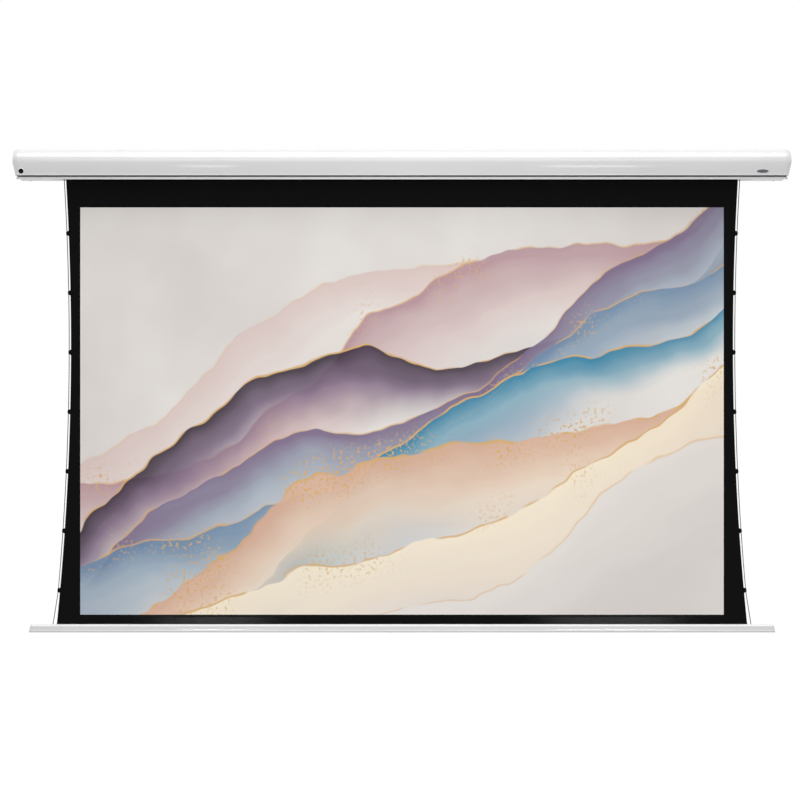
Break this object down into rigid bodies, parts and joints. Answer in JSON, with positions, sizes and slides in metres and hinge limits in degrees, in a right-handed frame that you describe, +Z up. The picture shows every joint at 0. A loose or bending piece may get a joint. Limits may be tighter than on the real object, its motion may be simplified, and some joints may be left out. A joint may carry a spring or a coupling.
{
  "type": "motorised projector screen",
  "caption": "Wall-hung motorised projector screen let down from a white case, with black borders, side tension strings on tabs and a weight bar.",
  "frame": {"origin": "On the flat back of the case, halfway along it and halfway up, on the wall.", "axes": "+X to the viewer's right along the case, +Y into the wall, +Z up. The screen hangs along -Z."},
  "size_m": [3.092, 0.116, 1.9341],
  "materials": {
    "white_powder_coat": "satin powder coat",
    "white_plastic": "fine textured moulding",
    "grey_plastic": "moulded",
    "black_plastic": "moulded",
    "infra_red_lens": "polished, near black",
    "circuit_board": "solder mask",
    "zinc_plated_steel": "zinc plated",
    "sintered_bronze": "sintered",
    "mill_aluminium": "mill finish",
    "badge_metal": "dark anodised",
    "grey_nylon": "moulded",
    "black_vinyl": "matt black PVC film",
    "white_vinyl": "matt white PVC film",
    "tab_vinyl": "welded black PVC",
    "braided_cord": "braided polyester"
  },
  "bodies": {
    "housing": {"case_shell": "white_powder_coat", "bottom_panel": "white_powder_coat", "end_cap_left": "white_plastic", "end_cap_right": "white_plastic", "end_cap_screw_left_top": "zinc_plated_steel", "end_cap_screw_left_low": "zinc_plated_steel", "end_cap_screw_right_top": "zinc_plated_steel", "end_cap_screw_right_low": "zinc_plated_steel", "panel_screw_left": "zinc_plated_steel", "panel_screw_right": "zinc_plated_steel", "wall_bracket_left": "zinc_plated_steel", "wall_bracket_right": "zinc_plated_steel", "ir_bezel": "white_plastic", "ir_window": "infra_red_lens", "receiver_board": "circuit_board", "badge": "badge_metal", "control_box": "black_plastic", "power_inlet": "black_plastic", "motor_bracket": "zinc_plated_steel", "idler_bracket": "zinc_plated_steel", "motor_head": "grey_plastic", "motor_body": "zinc_plated_steel", "idler_bush": "sintered_bronze", "top_drop": "black_vinyl", "viewing_surface": "white_vinyl", "side_border_left": "black_vinyl", "side_border_right": "black_vinyl", "bottom_border": "black_vinyl", "tab_left_1": "tab_vinyl", "tab_left_2": "tab_vinyl", "tab_left_3": "tab_vinyl", "tab_left_4": "tab_vinyl", "tab_left_5": "tab_vinyl", "tab_left_6": "tab_vinyl", "tab_left_7": "tab_vinyl", "tab_right_1": "tab_vinyl", "tab_right_2": "tab_vinyl", "tab_right_3": "tab_vinyl", "tab_right_4": "tab_vinyl", "tab_right_5": "tab_vinyl", "tab_right_6": "tab_vinyl", "tab_right_7": "tab_vinyl", "tension_string_left": "braided_cord", "tension_string_right": "braided_cord"},
    "roller": {"roller_tube": "mill_aluminium", "bearing_crown": "grey_nylon", "drive_wheel": "grey_nylon", "idler_plug": "grey_nylon", "idler_pin": "zinc_plated_steel", "string_drum_left": "grey_nylon", "string_drum_right": "grey_nylon", "fabric_roll": "black_vinyl"},
    "bar": {"weight_bar": "white_powder_coat", "bar_cap_left": "white_plastic", "bar_cap_right": "white_plastic", "hem_rod": "zinc_plated_steel", "weight_rod": "zinc_plated_steel", "string_anchor_left": "zinc_plated_steel", "string_anchor_right": "zinc_plated_steel"}
  },
  "joints": [
    {"name": "screen_lift", "type": "slide", "parent": "housing", "child": "bar", "axis": [0, 0, 1], "range_m": [0, 1.7831], "deforming": ["top_drop", "viewing_surface", "side_border_left", "side_border_right", "bottom_border", "tab_left_1", "tab_left_2", "tab_left_3", "tab_left_4", "tab_left_5", "tab_left_6", "tab_left_7", "tab_right_1", "tab_right_2", "tab_right_3", "tab_right_4", "tab_right_5", "tab_right_6", "tab_right_7", "tension_string_left", "tension_string_right"]},
    {"name": "roller_turn", "type": "hinge", "parent": "housing", "child": "roller", "pos_m": [0, -0.0736, 0.004], "axis": [1, 0, 0], "range_deg": [0, 3097.43]}
  ],
  "couplings": [
    {"joint": "roller_turn", "follows": "screen_lift", "rad_per_m": 30.303}
  ]
}
